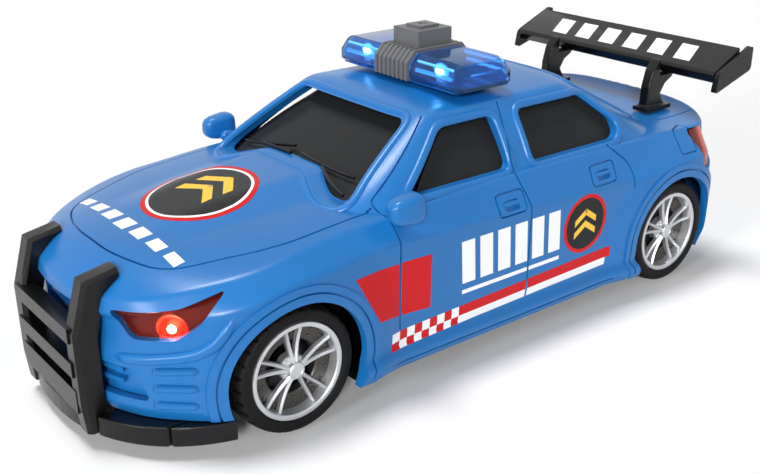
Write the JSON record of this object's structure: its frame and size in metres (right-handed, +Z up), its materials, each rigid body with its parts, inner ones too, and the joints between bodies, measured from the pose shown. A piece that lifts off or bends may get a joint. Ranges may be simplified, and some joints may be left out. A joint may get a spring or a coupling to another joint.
{
  "type": "toy police car",
  "caption": "Moulded toy patrol saloon with free-running wheels, a friction flywheel drive, a push bar, a rear wing and a roof light bar whose button springs back.",
  "frame": {"origin": "on the ground under the middle of the car's overall box", "axes": "+X out of the nose, +Y to the car's left, +Z up"},
  "size_m": [0.2486, 0.1104, 0.0959],
  "materials": {
    "body_blue": "satin-gloss moulded, blue",
    "trim_black": "satin moulded, black",
    "window_smoke": "glossy smoke, opaque",
    "lamp_red": "clear red, tinted",
    "lens_blue": "clear blue, tinted",
    "saddle_grey": "satin moulded, grey",
    "rim_silver": "vacuum metallised",
    "tyre_black": "matt, moulded tread",
    "steel": "drawn bar",
    "gear_white": "natural moulded",
    "board_green": "coated laminate",
    "cell_metal": "wrapped can",
    "led_white": "clear, domed"
  },
  "bodies": {
    "car": {"body_shell": "body_blue", "chassis": "trim_black", "front_splitter": "trim_black", "push_bar": "trim_black", "front_grille": "body_blue", "front_intake": "body_blue", "headlight_lens_left": "lamp_red", "headlight_lens_right": "lamp_red", "taillight_lens_left": "lamp_red", "taillight_lens_right": "lamp_red", "windscreen": "window_smoke", "rear_window": "window_smoke", "side_window_left": "window_smoke", "side_window_right": "window_smoke", "wiper_left": "trim_black", "wiper_right": "trim_black", "door_mirror_left": "body_blue", "door_mirror_right": "body_blue", "light_bar_base": "body_blue", "light_bar_lens_left": "lens_blue", "light_bar_lens_right": "lens_blue", "light_bar_leds": "led_white", "light_bar_saddle": "saddle_grey", "button_spring": "steel", "button_switch": "board_green", "circuit_board": "board_green", "wing_blade": "trim_black", "wing_endplate_left": "trim_black", "wing_endplate_right": "trim_black", "wing_strut_left": "trim_black", "wing_strut_right": "trim_black", "gearbox_left": "trim_black", "gearbox_right": "trim_black", "batteries": "cell_metal", "battery_contacts": "steel", "battery_cover": "trim_black", "battery_cover_screw": "steel", "speaker": "trim_black", "headlight_led_left": "led_white", "headlight_led_right": "led_white", "chassis_screws": "steel"},
    "front_wheels": {"front_axle": "steel", "rim_front_left": "rim_silver", "rim_front_right": "rim_silver", "tyre_front_left": "tyre_black", "tyre_front_right": "tyre_black"},
    "rear_wheels": {"rear_axle": "steel", "axle_gear": "gear_white", "rim_rear_left": "rim_silver", "rim_rear_right": "rim_silver", "tyre_rear_left": "tyre_black", "tyre_rear_right": "tyre_black"},
    "idler": {"idler_gear": "gear_white"},
    "flywheel_set": {"flywheel": "steel", "flywheel_pinion": "gear_white"},
    "button": {"siren_button": "saddle_grey"}
  },
  "joints": [
    {"name": "front_axle_spin", "type": "hinge", "parent": "car", "child": "front_wheels", "pos_m": [0.07295, 0, 0.019], "axis": [0, 1, 0], "continuous": true},
    {"name": "rear_axle_spin", "type": "hinge", "parent": "car", "child": "rear_wheels", "pos_m": [-0.08705, 0, 0.019], "axis": [0, 1, 0], "continuous": true},
    {"name": "idler_spin", "type": "hinge", "parent": "car", "child": "idler", "pos_m": [-0.07972, 0, 0.02773], "axis": [0, 1, 0], "continuous": true},
    {"name": "flywheel_spin", "type": "hinge", "parent": "car", "child": "flywheel_set", "pos_m": [-0.06837, 0, 0.02674], "axis": [0, 1, 0], "continuous": true},
    {"name": "button_press", "type": "slide", "parent": "car", "child": "button", "axis": [0, 0, -1], "range_m": [0, 0.0018], "stiffness_N_per_m": 900, "deforming": ["button_spring"]}
  ],
  "couplings": [
    {"joint": "idler_spin", "follows": "rear_axle_spin", "ratio": -2.8},
    {"joint": "flywheel_spin", "follows": "rear_axle_spin", "ratio": 7.84}
  ]
}
